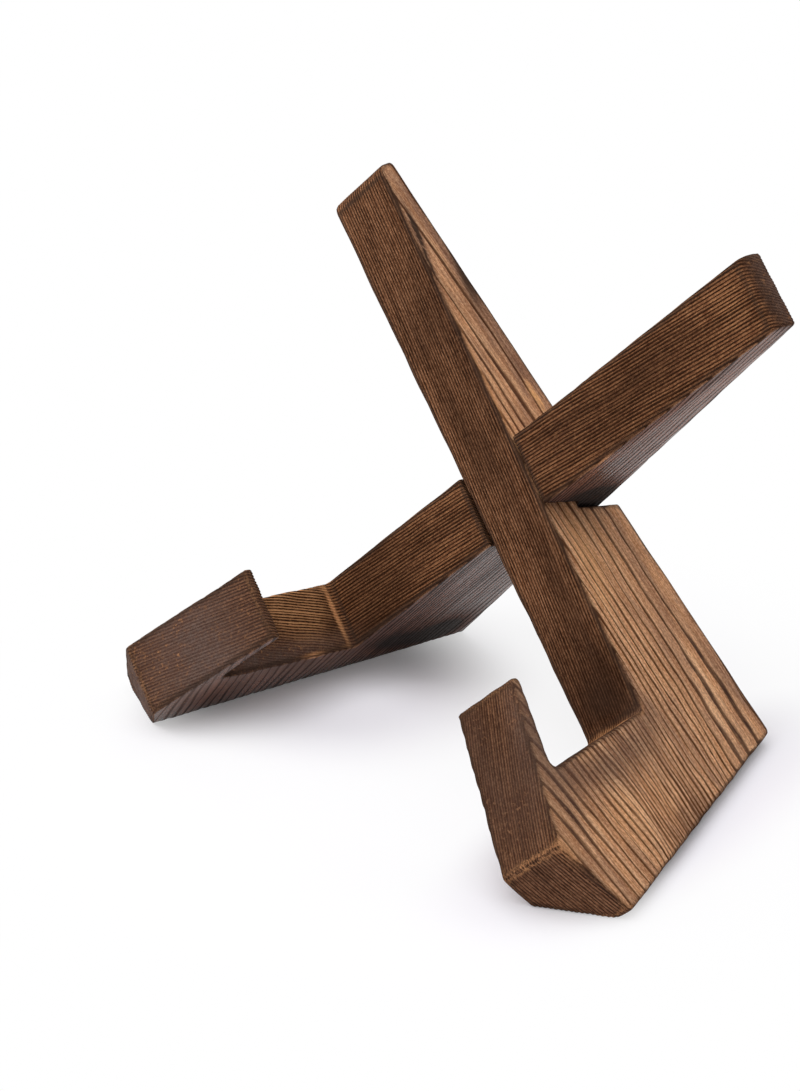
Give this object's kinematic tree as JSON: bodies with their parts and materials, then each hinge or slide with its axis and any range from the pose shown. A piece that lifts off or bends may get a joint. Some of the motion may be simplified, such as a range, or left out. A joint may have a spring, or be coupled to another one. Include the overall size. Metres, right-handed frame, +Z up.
{
  "type": "cookbook stand",
  "caption": "Wooden cookbook stand: two crossed boards joined by a half-lap, each with a foot, a ledge and a lip that hold an open book leaning back.",
  "frame": {"origin": "on the table, under the middle of the stand's bounding box", "axes": "+Z up, -Y towards the reader, +X to the reader's right; the right foot board has its foot at +X and its tip at -X"},
  "size_m": [0.2476, 0.1426, 0.1886],
  "materials": {
    "torched_softwood": "pine or spruce, torched dark brown and wire-brushed along the grain, with a thin satin oil finish"
  },
  "bodies": {
    "left_foot": {"left_foot_board": "torched_softwood"},
    "right_foot": {"right_foot_board": "torched_softwood"}
  },
  "joints": [
    {"name": "lap_slide", "type": "slide", "parent": "left_foot", "child": "right_foot", "axis": [0, -0.9573, 0.289], "range_m": [0, 0.024]}
  ]
}
